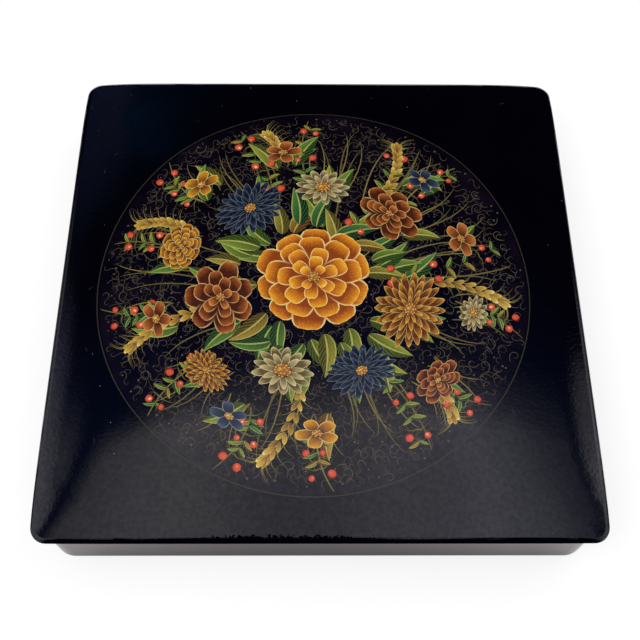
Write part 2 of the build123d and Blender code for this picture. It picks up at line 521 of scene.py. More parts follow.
def lid_black(recipe, place):
    """Black with the thinly painted ground of the medallion, a cloudy deep indigo, and dust."""
    cloud = recipe.span(recipe.noise(place, 70.0, detail=4.0), 0.4, 0.65)
    night = recipe.mix(cloud, *NIGHT)
    paint = recipe.mix(medallion_ground(recipe, place), black(recipe, place), night)
    for turn in (0.6, 1.9):
        hairlines = marks(recipe, place, cell=(30 * MM, 1.9 * MM), turn=turn, radius=0.035, share=0.06)
        paint = recipe.mix(hairlines, paint, HAIRLINE_GREY)
    dust = marks(recipe, place, cell=(12 * MM, 12 * MM), turn=0.3, radius=0.013, share=0.20)
    return recipe.mix(dust, paint, DUST_GREY)


print("painted ground", 2 * MEDALLION_R, "mm across")

# %% Where the lacquer is red or worn
RED_INSIDE = 74.6 * MM
WEAR_LEFT, WEAR_RIGHT = (-36 * MM, -27 * MM), (2 * MM, 20 * MM)
WEAR_FRONT, WEAR_BACK = (-79.2 * MM, -78.7 * MM), (-78.8 * MM, -77.1 * MM)
BASE_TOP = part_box("base_panel")[1].z - 0.05 * MM


def inside_square(recipe, place):
    """1 within the rim's inner faces."""
    x, y, _ = recipe.split(place)
    reach = recipe.math("MAXIMUM", recipe.math("ABSOLUTE", x), recipe.math("ABSOLUTE", y))
    return recipe.math("LESS_THAN", reach, RED_INSIDE)


def under_lid(recipe, place):
    """1 on the hollow underside of the lid."""
    upwards = recipe.split(recipe.place("Normal"))[2]
    return recipe.product(inside_square(recipe, place), recipe.math("LESS_THAN", upwards, 0.5))


def above_base(recipe, place):
    """1 on the floor of the compartment."""
    high = recipe.math("GREATER_THAN", recipe.split(place)[2], BASE_TOP)
    return recipe.product(inside_square(recipe, place), high)


def front_wear(recipe, place):
    """1 on small worn flecks along the front edge of the lid, left of the middle, where it is lifted."""
    x, y, _ = recipe.split(place)
    near = recipe.product(recipe.span(x, *WEAR_LEFT), recipe.span(x, *WEAR_RIGHT, 1, 0))
    near = recipe.product(near, recipe.span(y, *WEAR_FRONT), recipe.span(y, *WEAR_BACK, 1, 0))
    patches = recipe.span(recipe.noise(place, 160.0, detail=1.0), 0.3, 0.7, 0.5, 1.0)
    chips = recipe.noise(place, 1100.0, detail=2.0)
    rubbed = recipe.math("MULTIPLY_ADD", recipe.product(near, patches), 0.42, chips)
    return recipe.product(recipe.span(rubbed, 0.70, 0.78), recipe.span(near, 0.0, 0.05))


print("red reaches", round(RED_INSIDE / MM, 1), "mm from the middle")

# %% Lacquered pieces
COAT_WEIGHT, COAT_ROUGH = 0.25, 0.03
POLISHED, HAZY = 0.03, 0.07
WORN_ROUGH = 0.6
PLAIN_SHINE, WORN_SHINE, DAPPLE = 0.5, 0.04, 0.08


def wear_down(recipe, place, rough, worn):
    """Dulls the coat on worn flecks, and varies the shine of the top a little."""
    dull = recipe.math("MAXIMUM", rough, recipe.math("MULTIPLY", worn, WORN_ROUGH))
    level = recipe.span(recipe.split(recipe.place("Normal"))[2], 0.3, 0.8)
    dapple = recipe.span(recipe.noise(place, 700.0, detail=3.0), 0.3, 0.7, -DAPPLE, DAPPLE)
    shine = recipe.math("MULTIPLY_ADD", dapple, level, PLAIN_SHINE)
    shine = recipe.product(shine, recipe.span(worn, 0, 1, 1.0, WORN_SHINE))
    recipe.finish(Roughness=dull, Specular_IOR_Level=shine)
    recipe.finish(Coat_Weight=recipe.span(worn, 0, 1, COAT_WEIGHT, 0.0))


def lacquer(name, paint, red_where=None, worn_where=None):
    """A clear polished coat over a paint, red where one mask is 1 and worn where another is."""
    recipe = Recipe(name)
    place = recipe.place()
    coat = paint(recipe, place)
    if red_where:
        coat = recipe.mix(red_where(recipe, place), coat, red(recipe, place))
    rough = recipe.span(recipe.noise(place, 130.0, detail=4.0), 0.3, 0.75, POLISHED, HAZY)
    recipe.finish(Base_Color=coat, Roughness=rough, Normal=wavy_polish(recipe, place))
    recipe.finish(Coat_Weight=COAT_WEIGHT, Coat_Roughness=COAT_ROUGH)
    if worn_where:
        wear_down(recipe, place, rough, worn_where(recipe, place))
    return recipe.material


def dress(node, material):
    """Puts one material on a piece of the frame."""
    slots = nodes[node].data.materials
    slots.clear()
    slots.append(material)
    print(node, "wears", material.name)


dress("body_wall", lacquer("black_lacquer", black))
dress("base_panel", lacquer("base_lacquer", black, above_base))
dress("lid_rim", lacquer("rim_lacquer", black, inside_square))
dress("lid_panel", lacquer("lid_lacquer", lid_black, under_lid, front_wear))
dress("inner_sleeve", lacquer("red_lacquer", red))

# %% [markdown]
# ## Hinge tin
# The hinge is strips of tin plate rolled round a wire. A plain metal shader would look cast. Rolled plate is
# rubbed in streaks along the barrel, so one noise is stretched along X, and drives the colour, the roughness
# and the bump together.

# %% Hinge tin
STREAK_SCALE = (60.0, 900.0, 900.0)
STREAK_STRENGTH, STREAK_DEPTH = 0.2, 0.0001
RUBBED_ROUGH = 0.15


def tin(name, tone, rough):
    """Rolled tin plate with rubbed streaks along the barrel."""
    recipe = Recipe(name)
    along = recipe.add("Mapping")
    recipe.feed(along.inputs["Vector"], recipe.place())
    along.inputs["Scale"].default_value = STREAK_SCALE
    streak = recipe.noise(along.outputs[0], 1.0, detail=4.0)
    dim = colour(tone * 0.75, tone * 0.74, tone * 0.70)
    metal = recipe.mix(streak, dim, colour(tone, tone, tone * 0.97))
    rubbed = recipe.span(streak, 0.3, 0.7, rough, rough + RUBBED_ROUGH)
    uneven = recipe.bump(streak, STREAK_STRENGTH, STREAK_DEPTH)
    return recipe.finish(Base_Color=metal, Roughness=rubbed, Normal=uneven, Metallic=1.0)


strip_tin = tin("hinge_tin", tone=0.62, rough=0.28)
for node in nodes:
    if "knuckle" in node:
        dress(node, strip_tin)
dress("hinge_pin", tin("hinge_wire", tone=0.5, rough=0.22))

# %% [markdown]
# ## Brush strokes
# The lid carries a painted medallion of flowers. A miniature painter builds it from a handful of strokes: a
# petal, a leaf, a blade of grass, a curl, a berry. It could be one texture, but real strokes have an edge
# and lie over each other, so each is modelled once: a flat grid whose columns are scaled to the stroke's
# swell, then turned one after another so that it bends. Its UV map runs along and across the stroke, so the
# paint can shade from root to tip.

# %% Shaping a stroke
def pick(cage, stations):
    """Selects the vertices of some columns of a stroke."""
    chosen = {vertex for station in stations for vertex in station}
    for vertex in cage.verts:
        vertex.select_set(vertex in chosen)
    cage.select_flush_mode()


def middle(station):
    return sum((vertex.co for vertex in station), Vector()) / len(station)


def swell_columns(cage, stations, shares, root, tip):
    """Moves each column to its share of the length, and scales it to the stroke's swell there."""
    fullest = root / (root + tip)
    peak = fullest**root * (1 - fullest) ** tip
    for share, station in zip(shares, stations):
        swell = share**root * (1 - share) ** tip / peak
        pick(cage, [station])
        bpy.ops.transform.translate(value=(share * MM - station[0].co.x, 0, 0))
        bpy.ops.transform.resize(value=(1, swell, 1), center_override=(share * MM, 0, 0))


def bend_columns(cage, stations, shares, bend, curl):
    """Turns what follows each column a little further; gives the spots and headings of the middle line."""
    line = [(0.0, 0.0, 0.0)]
    for step in range(1, len(stations)):
        turned = bend * (shares[step] ** curl - shares[step - 1] ** curl)
        if turned:
            pick(cage, stations[step:])
            pivot = middle(stations[step - 1])
            bpy.ops.transform.rotate(value=-turned, orient_axis="Z", center_override=pivot)
        spot = middle(stations[step])
        line.append((spot.x / MM, spot.y / MM, bend * shares[step] ** curl))
    return line


print("strokes are shaped 1 mm long, from the origin along X")

# %% Modelling a stroke
STROKE_VALUES = ("tint", "root", "lift")
MERGE_NEAR = 0.002 * MM
middle_lines = {}


def brush_stroke(name, width, root, tip, bend=0.0, curl=1.0, columns=8, rows=1):
    """A stroke 1 mm long; root and tip say how fast it swells and narrows."""
    bpy.ops.object.select_all(action="DESELECT")
    bpy.ops.mesh.primitive_grid_add(x_subdivisions=columns, y_subdivisions=rows, size=1)
    stroke = bpy.context.object
    stroke.name = stroke.data.name = name
    bpy.ops.object.mode_set(mode="EDIT")
    bpy.ops.mesh.select_all(action="SELECT")
    bpy.ops.transform.resize(value=(MM, width * MM, 1))
    bpy.ops.transform.translate(value=(MM / 2, 0, 0))
    cage = bmesh.from_edit_mesh(stroke.data)
    ordered = sorted(cage.verts, key=lambda vertex: (round(vertex.co.x, 8), vertex.co.y))
    stations = [ordered[start:start + rows + 1] for start in range(0, len(ordered), rows + 1)]
    shares = [(1 - math.cos(math.pi * step / columns)) / 2 for step in range(columns + 1)]
    swell_columns(cage, stations, shares, root, tip)
    middle_lines[name] = bend_columns(cage, stations, shares, bend, curl)
    bpy.ops.mesh.select_all(action="SELECT")
    bpy.ops.mesh.remove_doubles(threshold=MERGE_NEAR)
    bpy.ops.object.mode_set(mode="OBJECT")
    mesh = stroke.data
    for value in STROKE_VALUES:
        mesh.attributes.new(value, "FLOAT", "POINT")
    bpy.data.objects.remove(stroke)
    return mesh


def pair(name, bend, *shape, **grid):
    """The same stroke bent to the left and to the right."""
    left = brush_stroke(name + "_left", *shape, bend=bend, **grid)
    right = brush_stroke(name + "_right", *shape, bend=-bend, **grid)
    return left, right


petal_broad = brush_stroke("petal_broad", 0.62, 0.75, 0.30, columns=12, rows=4)
petal_round = brush_stroke("petal_round", 0.85, 0.55, 0.35, columns=10, rows=3)
petal_narrow = brush_stroke("petal_narrow", 0.22, 0.70, 0.55, columns=7)
berry = brush_stroke("berry", 1.0, 0.5, 0.5)
dot = brush_stroke("dot", 1.0, 0.5, 0.5, columns=5)
LEAVES = pair("leaf", 0.55, 0.38, 0.55, 0.95, columns=12, rows=2)
LEAFLETS = pair("leaflet", 0.5, 0.40, 0.55, 0.85, columns=7)
STEMS = pair("stem", 0.9, 0.018, 0.05, 0.25, columns=14)
BLADES = pair("blade", 1.0, 0.024, 0.25, 0.75, curl=1.6, columns=12)
CURLS = pair("curl", 4.0, 0.040, 0.30, 0.60, curl=1.9, columns=11)
SCROLLS = pair("scroll", 5.6, 0.027, 0.25, 0.50, curl=1.9, columns=15)
stem_end = [round(value, 2) for value in middle_lines["stem_left"][-1]]
print(len(middle_lines), "strokes modelled; a left stem ends at", stem_end)

# %% [markdown]
# ## Laying the strokes
# A stroke is copied, each copy with its own mesh, then scaled, turned and set in its place on a flat plan of
# the lid. Geometry nodes could scatter the copies, but a painter puts each stroke on purpose. Each colour
# keeps a list of its copies. A copy also gets a tint, for its share of colour, a root, where it comes out
# from under the strokes over it, and a lift of some thousandths of a millimetre, so that a later stroke lies
# over an earlier one.

# %% Laying the strokes
MEDALLION_PLACE = Matrix.Translation((MEDALLION.x * MM, MEDALLION.y * MM, 0))
STEP_LIFT, LIFT_STEPS = 0.0018, 7
chance = random.Random(11)
laid = {}


def lay(colour_name, stroke, spot, turn, size, wide=1.0, tint=None, root=0.0, lift=None, within=None):
    """Lays one copy of a stroke at a spot of the medallion, in millimetres and radians."""
    strokes = laid.setdefault(colour_name, [])
    mesh = stroke.copy()
    place = Matrix.Translation((spot[0] * MM, spot[1] * MM, 0)) @ Matrix.Rotation(turn, 4, "Z")
    place = place @ Matrix.Diagonal((size, size * wide, 1, 1))
    if within:
        place = within @ place
    mesh.transform(MEDALLION_PLACE @ place)
    values = {
        "tint": chance.random() if tint is None else tint,
        "root": root,
        "lift": (STEP_LIFT * (len(strokes) % LIFT_STEPS) if lift is None else lift) * MM,
    }
    for attribute, value in values.items():
        mesh.attributes[attribute].data.foreach_set("value", np.full(len(mesh.vertices), value, "f"))
    strokes.append(mesh)


def polar(radius, angle):
    return radius * math.cos(angle), radius * math.sin(angle)


def jitter(amount):
    return chance.uniform(-amount, amount)


print("ready to lay strokes in", LIFT_STEPS, "lifts of", STEP_LIFT, "mm")

# %% [markdown]
# ## Flowers
# A blossom is rows of petals, each row shorter than the one under it, round a heart of dots. It could be one
# outline filled with colour, but it is the rows that make it look full. Blossoms away from the middle are
# squeezed a little, as if they leaned outwards. The large one in the middle lies over its neighbours, and
# these lie over the small ones round them.

# %% Petals round a heart
ROWS = {
    "peony": (
        petal_broad,
        ((10, 1.00, 0.95), (9, 0.81, 0.95), (7, 0.61, 0.95), (6, 0.41, 1.0), (4, 0.24, 1.1)),
    ),
    "rose": (petal_round, ((7, 1.00, 0.75), (6, 0.77, 0.75), (5, 0.54, 0.75), (4, 0.34, 0.8))),
    "aster": (petal_narrow, ((20, 1.00, 1.1), (16, 0.80, 1.1), (12, 0.58, 1.1), (9, 0.36, 1.2))),
    "daisy": (petal_narrow, ((13, 1.00, 1.5), (11, 0.72, 1.4))),
    "star": (petal_round, ((5, 1.00, 0.80),)),
}
HEARTS = {"peony": 0.12, "rose": 0.13, "aster": 0.18, "daisy": 0.30, "star": 0.26}
HEART_RINGS = ((0.84, 6, 4.5), (0.45, 4, 2.4))
PETAL_START = 0.04
COVERED, ROOT_SHOWN = 0.86, 0.06
TIER_LIFT, ROW_LIFT, PETAL_LIFT = 0.022, 0.0045, 0.0035


def petal_rows(kind, colour_name, radius, tier, within):
    """Rows of petals, each a little lighter and shorter than the one that it lies on."""
    petal, rows = ROWS[kind]
    start = chance.uniform(0, math.tau)
    for level, (count, share, wide) in enumerate(rows):
        over = rows[level + 1][1] if level + 1 < len(rows) else HEARTS[kind]
        hidden = COVERED * over / share - ROOT_SHOWN
        for index in range(count):
            turn = start + math.tau * (index + 0.5 * (level % 2)) / count + jitter(0.05)
            size = radius * share * (1 + jitter(0.05))
            tint = min(max(0.3 + 0.12 * level + jitter(0.14), 0), 1)
            lift = tier * TIER_LIFT + level * ROW_LIFT + PETAL_LIFT * index / count
            fuller = wide * (1 + jitter(0.06))
            spot = polar(PETAL_START * radius, turn)
            lay(colour_name, petal, spot, turn, size, fuller, tint, hidden, lift, within)


def golden_heart(kind, radius, tier, within):
    """A brown button with two rings of golden grains."""
    heart = HEARTS[kind] * radius
    lift = tier * TIER_LIFT
    lay("hearts", berry, (-heart, 0), 0, 2 * heart, lift=lift, within=within)
    for share, fewest, per_mm in HEART_RINGS:
        grains = max(fewest, round(per_mm * heart))
        for index in range(grains):
            spot = polar(heart * share, math.tau * index / grains + jitter(0.2))
            grain = 0.30 + 0.10 * heart + jitter(0.06)
            lay("gold", dot, (spot[0] - grain / 2, spot[1]), 0, grain, lift=lift, within=within)


print({kind: sum(row[0] for row in rows) for kind, (_, rows) in ROWS.items()}, "petals to a blossom")

# %% Bouquet
LEAN_PER_MM = 0.006
BOUQUET = (
    ("star", "amber_petals", -36, 36, 6.0, 0),
    ("star", "coral_petals", -47, -12, 6.0, 0),
    ("star", "blue_petals", -24, -43, 5.5, 0),
    ("star", "amber_petals", 1, -48, 6.0, 0),
    ("rose", "coral_petals", 36, -32, 7.5, 0),
    ("daisy", "cream_petals", 48, -10, 6.0, 0),
    ("star", "coral_petals", 46, 16, 6.0, 0),
    ("star", "blue_petals", 35, 38, 5.5, 0),
    ("star", "coral_petals", -10, 49, 6.0, 0),
    ("peony", "amber_petals", -41, 13, 8.0, 0),
    ("aster", "amber_petals", -31, -29, 7.5, 0),
    ("rose", "coral_petals", -28, -5, 12.0, 1),
    ("aster", "amber_petals", 29, -9, 12.5, 1),
    ("rose", "coral_petals", 24, 25, 10.5, 1),
    ("aster", "blue_petals", -20, 27, 11.0, 1),
    ("daisy", "cream_petals", -9, -29, 9.0, 1),
    ("aster", "blue_petals", 14, -29, 10.0, 1),
    ("daisy", "cream_petals", 3, 35, 8.5, 1),
    ("peony", "gold_petals", 0, 2, 17.0, 2),
)


def blossom(kind, colour_name, x, y, radius, tier):
    """Petals round a heart, squeezed along the way the blossom leans."""
    away = math.atan2(y, x)
    slim = 1 - LEAN_PER_MM * math.hypot(x, y)
    turned_back = Matrix.Rotation(-away, 4, "Z")
    squeeze = Matrix.Rotation(away, 4, "Z") @ Matrix.Diagonal((slim, 1, 1, 1)) @ turned_back
    within = Matrix.Translation((x * MM, y * MM, 0)) @ squeeze
    petal_rows(kind, colour_name, radius, tier, within)
    golden_heart(kind, radius, tier, within)


for flower in BOUQUET:
    blossom(*flower)
print(len(BOUQUET), "blossoms,", sum(len(strokes) for strokes in laid.values()), "strokes so far")

# %% [markdown]
# ## Leaves, sprays, ears and grasses
# Large leaves fan out from under the blossoms. Sprays with small leaves and berries and ears of wheat reach
# for the border, and thin grasses fill the gaps, so that the bunch thins out towards the dark ground. They
# could be set one by one like the blossoms, but there are hundreds, so each finds where the bunch ends at
# its own angle and grows out from there.

# %% Where the bunch ends
BORDER_ROOM = 3.5
ROOT_UNDER = 8
INNER_REACH = 24.0
BLOSSOM_COVER, BLOSSOM_REACH = 0.9, 0.5
SIGNS = (-1, 1)


def reach_of_bunch(angle):
    """How far the blossoms reach at one angle."""
    reach = INNER_REACH
    for _, _, x, y, radius, _ in BOUQUET:
        off = (math.atan2(y, x) - angle + math.pi) % math.tau - math.pi
        span = math.hypot(x, y)
        if abs(off) * span < BLOSSOM_COVER * radius:
            reach = max(reach, span + BLOSSOM_REACH * radius)
    return reach


def along_stem(root, turn, side, length):
    """The spots and headings along a laid stem."""
    for x, y, heading in middle_lines[("stem_left", "stem_right")[side]]:
        across, up = x * length, y * length
        yield (
            root[0] + across * math.cos(turn) - up * math.sin(turn),
            root[1] + across * math.sin(turn) + up * math.cos(turn),
            turn + heading,
        )


print("the bunch reaches", [round(reach_of_bunch(math.radians(angle))) for angle in range(0, 360, 45)], "mm")

# %% Sprays
SPRAY_LEAN, SPRAY_REACH, SPRAY_WIDTH = 0.45, 1.1, 26
BARE_STEPS, TIP_ROOM = 3, 3
BERRY_EVERY, BERRY_SIZE = 3, 2.3
STALK_LENGTH, STALK_WIDE, STALK_TINT = 2.4, 5.0, 0.3
LEAFLET_LENGTH, LEAFLET_TAPER, LEAFLET_TURN = 5.8, 0.22, 0.8


def spray(angle, side):
    """A bent stem with leaves to either side and berries between them."""
    root = polar(reach_of_bunch(angle) - ROOT_UNDER, angle)
    turn = angle + SIGNS[side] * SPRAY_LEAN + jitter(0.1)
    length = (MEDALLION_R - BORDER_ROOM - math.hypot(*root)) * SPRAY_REACH
    lay("stems", STEMS[side], root, turn, length, SPRAY_WIDTH / length)
    for step, (x, y, heading) in enumerate(along_stem(root, turn, side, length)):
        if step < BARE_STEPS or math.hypot(x, y) > MEDALLION_R - BORDER_ROOM - TIP_ROOM:
            continue
        for way in (0, 1):
            out = heading - SIGNS[way] * LEAFLET_TURN + jitter(0.15)
            if step % BERRY_EVERY == 0:
                stalk = STALK_LENGTH + jitter(0.5)
                lay("stems", BLADES[way], (x, y), out, stalk + 1, STALK_WIDE, STALK_TINT)
                tip = polar(stalk, out)
                lay("berries", berry, (x + tip[0], y + tip[1]), out, BERRY_SIZE * (1 + jitter(0.2)))
            else:
                size = LEAFLET_LENGTH - LEAFLET_TAPER * step
                lay("leaflets", LEAFLETS[way], (x, y), out, size * (1 + jitter(0.15)))


print("a spray leans", round(math.degrees(SPRAY_LEAN)), "degrees to its side")

# %% Ears of wheat
EAR_LEAN, EAR_ROOM, EAR_WIDTH, EAR_TINT = 0.4, 5, 24, 0.9
EAR_START = 5
GRAIN_LENGTH, LAST_GRAIN, GRAIN_WIDE, GRAIN_TURN = 3.6, 4.0, 1.9, 0.42
BEARD_START, BEARD_LENGTH, BEARD_WIDE, BEARD_TINT = 2.4, 4.6, 2.6, 1.0


def wheat_ear(angle, side):
    """A stem that ends in two rows of grains with long beards."""
    root = polar(reach_of_bunch(angle) - ROOT_UNDER, angle)
    turn = angle + SIGNS[side] * EAR_LEAN + jitter(0.1)
    length = MEDALLION_R - BORDER_ROOM - EAR_ROOM - math.hypot(*root)
    lay("stems", STEMS[side], root, turn, length, EAR_WIDTH / length, EAR_TINT)
    line = list(along_stem(root, turn, side, length))
    for x, y, heading in line[EAR_START:]:
        for way in (0, 1):
            out = heading - SIGNS[way] * GRAIN_TURN
            lay("grains", petal_narrow, (x, y), out, GRAIN_LENGTH * (1 + jitter(0.12)), GRAIN_WIDE)
            beard = polar(BEARD_START, out)
            spot = (x + beard[0], y + beard[1])
            lay("stems", BLADES[way], spot, out * 0.4 + heading * 0.6, BEARD_LENGTH, BEARD_WIDE, BEARD_TINT)
    x, y, heading = line[-1]
    lay("grains", petal_narrow, (x, y), heading, LAST_GRAIN, GRAIN_WIDE)


print("an ear starts", EAR_START, "steps up its stem")

# %% Growing the bunch
GRASS_COUNT, GRASS_UNDER, GRASS_LEAN, GRASS_WIDTH = 90, 9, 0.35, 18.0
GRASS_REACH = (0.65, 1.08)
SPRAY_COUNT = 14
LEAF_COUNT, LEAF_UNDER, INNER_TURN = 34, 0.62, 0.08
LEAF_SIZE, INNER_LEAVES = (11, 15), (17, 24)

for index in range(GRASS_COUNT):
    angle = math.tau * index / GRASS_COUNT + jitter(0.05)
    side = chance.randrange(2)
    root = polar(reach_of_bunch(angle) - GRASS_UNDER, angle)
    size = (MEDALLION_R - BORDER_ROOM - math.hypot(*root)) * chance.uniform(*GRASS_REACH)
    lay("stems", BLADES[side], root, angle + SIGNS[side] * GRASS_LEAN, size, GRASS_WIDTH / size)
for index in range(SPRAY_COUNT):
    angle = math.tau * (index + 0.5) / SPRAY_COUNT + jitter(0.07)
    spray(angle, index % 2)
    if index % 2:
        wheat_ear(angle + math.pi / SPRAY_COUNT + jitter(0.06), chance.randrange(2))
for index in range(LEAF_COUNT):
    angle = math.tau * index / LEAF_COUNT + jitter(0.06)
    size = chance.uniform(*LEAF_SIZE)
    root = polar(reach_of_bunch(angle) - LEAF_UNDER * size, angle)
    lay("leaves", LEAVES[index % 2], root, angle + jitter(0.45), size)
    inner = polar(chance.uniform(*INNER_LEAVES), angle + INNER_TURN)
    lay("leaves", LEAVES[(index + 1) % 2], inner, angle + jitter(0.6), size)
print({name: len(strokes) for name, strokes in laid.items()})

# %% [markdown]
# ## Ground: tracery and border
# Between the flowers the dark ground is filled with small dull scrolls, curls and dots, and a single thin
# line rings it. Strewn at random, the curls would bunch up and leave holes, so there is one to each place of
# a loose net. The ring is a circle, extruded inwards.

# %% Ground tracery
NET_STEP, NET_ROW, NET_JITTER = 3.0, 0.87, 0.9
NET_ROWS = range(-26, 27)
CURL_ROOM = 2.4
SCROLL_SIZE, CURL_SIZE, SMALL_CURL, DOT_SIZE = (6.0, 9.0), (3.6, 5.6), (2.6, 3.8), (0.35, 0.7)


def under_blossom(spot):
    """Whether a blossom covers a spot of the ground."""
    return any(
        math.hypot(spot.x - x, spot.y - y) < BLOSSOM_COVER * radius for _, _, x, y, radius, _ in BOUQUET
    )


def tracery(spot, index):
    """A scroll, an S of two curls, or a curl with a dot, turned inwards near the border."""
    turn = chance.uniform(0, math.tau)
    if spot.length > MEDALLION_R - 3 * CURL_ROOM:
        turn = math.atan2(-spot.y, -spot.x) + jitter(1.2)
    side = chance.randrange(2)
    if index % 3 == 0:
        lay("tracery", SCROLLS[side], spot, turn, chance.uniform(*SCROLL_SIZE))
        return
    lay("tracery", CURLS[side], spot, turn, chance.uniform(*CURL_SIZE))
    if index % 3 == 1:
        lay("tracery", CURLS[side], spot, turn + math.pi, chance.uniform(*SMALL_CURL))
    else:
        lay("tracery", dot, spot - Vector(polar(1.0, turn)), 0, chance.uniform(*DOT_SIZE), tint=1.0)


grounds = []
for row in NET_ROWS:
    for column in NET_ROWS:
        spot = Vector((column + 0.5 * (row % 2), NET_ROW * row)) * NET_STEP
        spot += Vector((jitter(NET_JITTER), jitter(NET_JITTER)))
        if spot.length < MEDALLION_R - CURL_ROOM and not under_blossom(spot):
            grounds.append(spot)
for index, spot in enumerate(grounds):
    tracery(spot, index)
print(len(grounds), "places filled with", len(laid["tracery"]), "strokes")

# %% Border line
RING_SIDES = 180
RING_WIDTH = 0.34
bpy.ops.object.select_all(action="DESELECT")
bpy.ops.mesh.primitive_circle_add(vertices=RING_SIDES, radius=MEDALLION_R * MM)
ring = bpy.context.object
bpy.ops.object.mode_set(mode="EDIT")
bpy.ops.mesh.select_all(action="SELECT")
bpy.ops.mesh.extrude_edges_move()
inner = 1 - RING_WIDTH / MEDALLION_R
bpy.ops.transform.resize(value=(inner, inner, 1), center_override=(0, 0, 0))
bpy.ops.mesh.select_all(action="SELECT")
bpy.ops.mesh.normals_make_consistent(inside=False)
bpy.ops.object.mode_set(mode="OBJECT")
border = ring.data
bpy.data.objects.remove(ring)
border.transform(MEDALLION_PLACE)
for value in STROKE_VALUES:
    border.attributes.new(value, "FLOAT", "POINT")
laid["border"] = [border]
print("border", RING_WIDTH, "mm wide")

# %% [markdown]
# ## Paint
# Egg tempera under lacquer: each stroke shades from a dark root to a light tip, with fine hatching and a
# pale outline, the way the last strokes of a miniature are drawn with a hair brush. Shading by place on the
# lid would cut across the strokes. The stroke's own UV map carries it instead, so it follows every bend.

# %% Paint under the coat
STROKE_ROUGH, LINE_ROUGH = 0.22, 0.3


def attribute_of(recipe, name):
    return recipe.add("Attribute", attribute_name=name).outputs["Fac"]


def stroke_parts(recipe):
    """How far along the stroke, where across it, how far from its middle line, its tint and a fine noise."""
    along, across, _ = recipe.split(recipe.place("UV"))
    off = recipe.math("MULTIPLY", recipe.math("ABSOLUTE", recipe.math("SUBTRACT", across, 0.5)), 2.0)
    grain = recipe.noise(recipe.place(), 900.0, detail=3.0)
    return along, across, off, attribute_of(recipe, "tint"), grain


def lacquered(recipe, paint, rough=STROKE_ROUGH, metallic=0.0):
    """A paint under the same clear coat as the box."""
    recipe.finish(Base_Color=paint, Roughness=rough, Metallic=metallic)
    recipe.finish(Coat_Weight=COAT_WEIGHT, Coat_Roughness=COAT_ROUGH)
    return recipe.finish(Normal=wavy_polish(recipe, recipe.place()))


def berry_paint(name, dark, body, light):
    """Round shading with a highlight up and to the left."""
    recipe = Recipe(name)
    along, across, _, tint, _ = stroke_parts(recipe)
    spread = recipe.add("CombineXYZ", along, across)
    centre = recipe.add("VectorMath", spread.outputs[0], (0.42, 0.58, 0.0), operation="DISTANCE")
    far = recipe.math("ADD", centre.outputs["Value"], recipe.math("MULTIPLY_ADD", tint, 0.16, -0.08))
    paint = recipe.ramp(far, ((0.0, light), (0.14, body), (0.38, body), (0.55, dark)))
    return lacquered(recipe, paint)


def line_paint(name, dull, bright, metallic=0.0):
    """A thin line of one colour, uneven as a loaded brush leaves it."""
    recipe = Recipe(name)
    _, _, _, tint, grain = stroke_parts(recipe)
    share = recipe.math("MULTIPLY", recipe.math("ADD", tint, grain), 0.55, clamp=True)
    paint = recipe.mix(share, colour(*dull), colour(*bright))
    return lacquered(recipe, paint, LINE_ROUGH, metallic)


print("berry and line paint ready")

# %% Petal paint
PETAL_STOPS = (0.05, 0.45, 0.92, 1.0)
STREAKS = 48.0
OUTLINE = 0.75


def petal_paint(name, deep, body, light, edge):
    """Dark where it comes out from under the next row, light at the tip, outlined and finely streaked."""
    recipe = Recipe(name)
    along, across, off, tint, grain = stroke_parts(recipe)
    root = attribute_of(recipe, "root")
    shown = recipe.math("DIVIDE", recipe.math("SUBTRACT", along, root), recipe.math("SUBTRACT", 1.02, root))
    shade = recipe.math("ADD", shown, recipe.math("MULTIPLY_ADD", grain, 0.36, -0.18))
    shade = recipe.math("ADD", shade, recipe.math("MULTIPLY_ADD", tint, 0.5, -0.25))
    paint = recipe.ramp(shade, zip(PETAL_STOPS, (deep, body, light, edge)))
    waves = recipe.math("SINE", recipe.math("MULTIPLY", across, STREAKS))
    streak = recipe.product(recipe.span(waves, 0.3, 1.0), recipe.span(shown, 0.0, 0.9, 0.55, 0.0))
    paint = recipe.mix(streak, paint, colour(*deep))
    rim = recipe.math("MAXIMUM", recipe.span(off, 0.84, 0.96), recipe.span(along, 0.93, 0.985))
    rim = recipe.product(rim, recipe.span(shown, -0.35, 0.3), OUTLINE)
    return lacquered(recipe, recipe.mix(rim, paint, colour(*edge)))


print("petal paint ready, outlined at", OUTLINE)

# %% Leaf paint
LEAF_TINTS = (0.0, 0.4, 0.75, 1.0)
LEAF_SHADE = ((0.006, 0.026, 0.010), (0.016, 0.042, 0.007), (0.036, 0.046, 0.007), (0.075, 0.030, 0.006))
LEAF_SUN = ((0.055, 0.19, 0.045), (0.15, 0.26, 0.030), (0.30, 0.31, 0.036), (0.44, 0.21, 0.032))
RIB_COLOUR = colour(0.46, 0.46, 0.12)
RIB, VEIN = 0.8, 0.4


